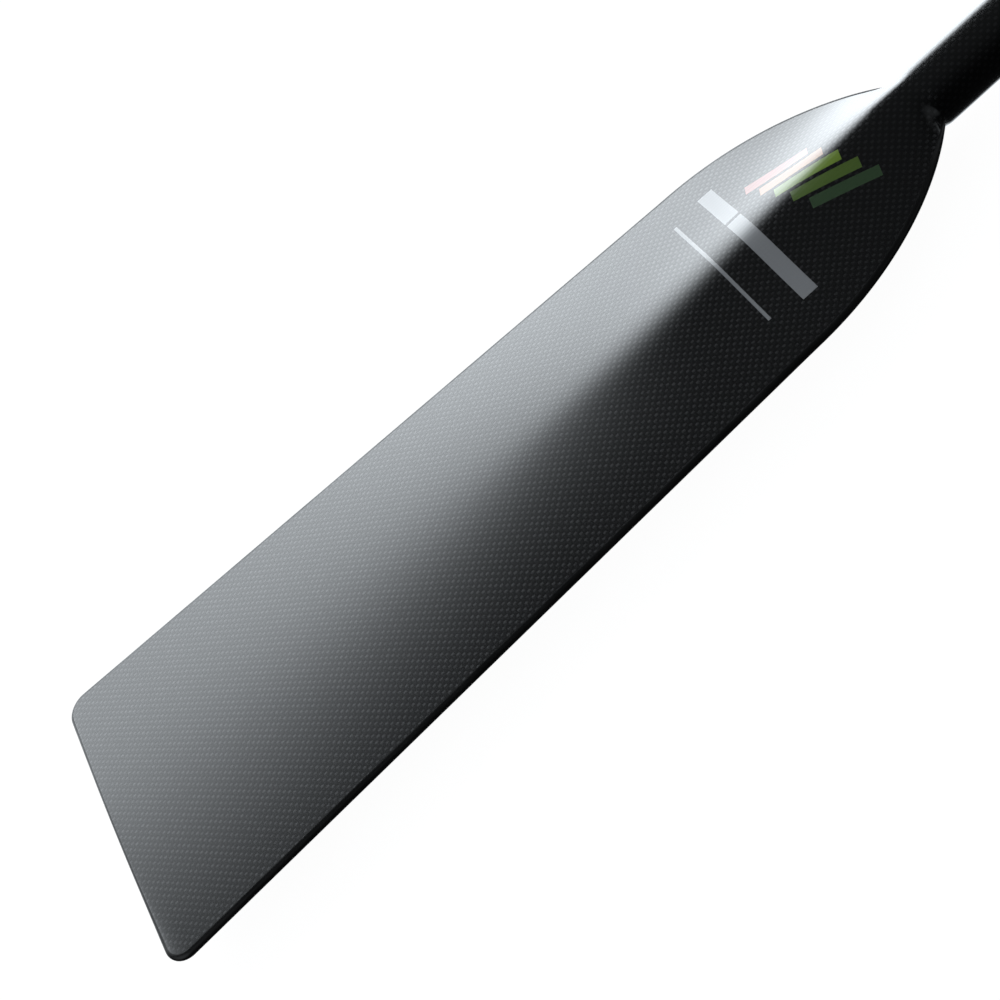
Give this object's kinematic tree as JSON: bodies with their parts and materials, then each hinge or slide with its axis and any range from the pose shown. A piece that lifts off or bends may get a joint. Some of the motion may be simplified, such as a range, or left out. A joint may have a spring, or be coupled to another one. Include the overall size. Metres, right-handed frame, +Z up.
{
  "type": "dragon boat paddle",
  "caption": "Single-bladed carbon paddle with a square-tipped tapering blade, a round shaft, and a T-grip handle that slides in a lever clamp to set the length.",
  "frame": {"origin": "centre of the bounding box, at the floor the paddle lies on", "axes": "+X along the shaft from the blade's tip to the T-grip, +Y across the blade, +Z up out of the blade's front face"},
  "size_m": [1.162, 0.1734, 0.0481],
  "materials": {
    "carbon_weave": "plain-weave carbon fibre under clear gloss lacquer",
    "edge_resin": "gloss black resin edge",
    "core_foam": "closed-cell foam",
    "plain_carbon": "unlacquered carbon laminate",
    "black_nylon": "fine moulded texture",
    "grey_nylon": "moulded",
    "steel": "turned stainless steel",
    "aluminium": "turned",
    "rubber": "matt",
    "grip_plastic": "satin moulded"
  },
  "bodies": {
    "paddle": {"blade_front_skin": "carbon_weave", "blade_back_skin": "carbon_weave", "blade_edge_rim": "edge_resin", "blade_core_left": "core_foam", "blade_core_right": "core_foam", "blade_spine_web": "plain_carbon", "neck_spigot": "plain_carbon", "neck_plug": "core_foam", "shaft_tube": "carbon_weave", "shaft_bush": "grey_nylon", "clamp_collar": "black_nylon", "clamp_bolt": "steel", "clamp_barrel": "steel", "clamp_wear_plate": "steel"},
    "handle": {"handle_tube": "carbon_weave", "handle_end_plug": "grey_nylon", "handle_o_ring": "rubber", "grip_core": "grey_nylon", "grip_pin": "steel", "grip_neck_ring": "grip_plastic", "grip_shell_top": "grip_plastic", "grip_shell_bottom": "grip_plastic", "grip_end_cap_left": "grey_nylon", "grip_end_cap_right": "grey_nylon"},
    "lever": {"clamp_lever": "black_nylon"},
    "nut": {"tension_nut": "aluminium"}
  },
  "joints": [
    {"name": "handle_slide", "type": "slide", "parent": "paddle", "child": "handle", "axis": [1, 0, 0], "range_m": [0, 0.12]},
    {"name": "lever_pivot", "type": "hinge", "parent": "paddle", "child": "lever", "pos_m": [0.393, 0.0131, 0.0426], "axis": [1, 0, 0], "range_deg": [0, 150]},
    {"name": "nut_spin", "type": "hinge", "parent": "paddle", "child": "nut", "pos_m": [0.393, -0.0068, 0.0426], "axis": [0, 1, 0], "continuous": true}
  ]
}
